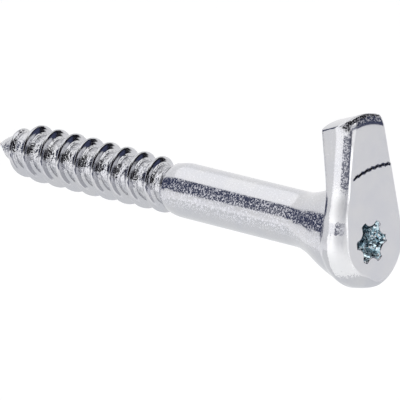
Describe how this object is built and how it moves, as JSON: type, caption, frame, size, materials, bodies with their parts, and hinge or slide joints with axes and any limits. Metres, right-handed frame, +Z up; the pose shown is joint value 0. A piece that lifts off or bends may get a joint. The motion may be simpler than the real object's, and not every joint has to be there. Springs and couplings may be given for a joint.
{
  "type": "screw hook",
  "caption": "Zinc-plated steel screw hook: a wood-screw threaded shank, a conical neck and a forged plate head with a raised nose and a six-lobe drive recess.",
  "frame": {"origin": "on the screw's axis, where the smooth shank meets the conical neck", "axes": "+X along the screw's axis from the point to the head, +Z up the nose of the hook, +Y across the plate"},
  "size_m": [0.0567, 0.0102, 0.0188],
  "materials": {
    "zinc_plated_steel": "bright zinc plating, glossy with a fine grain"
  },
  "bodies": {
    "root": {"screw_hook": "zinc_plated_steel"}
  },
  "joints": []
}
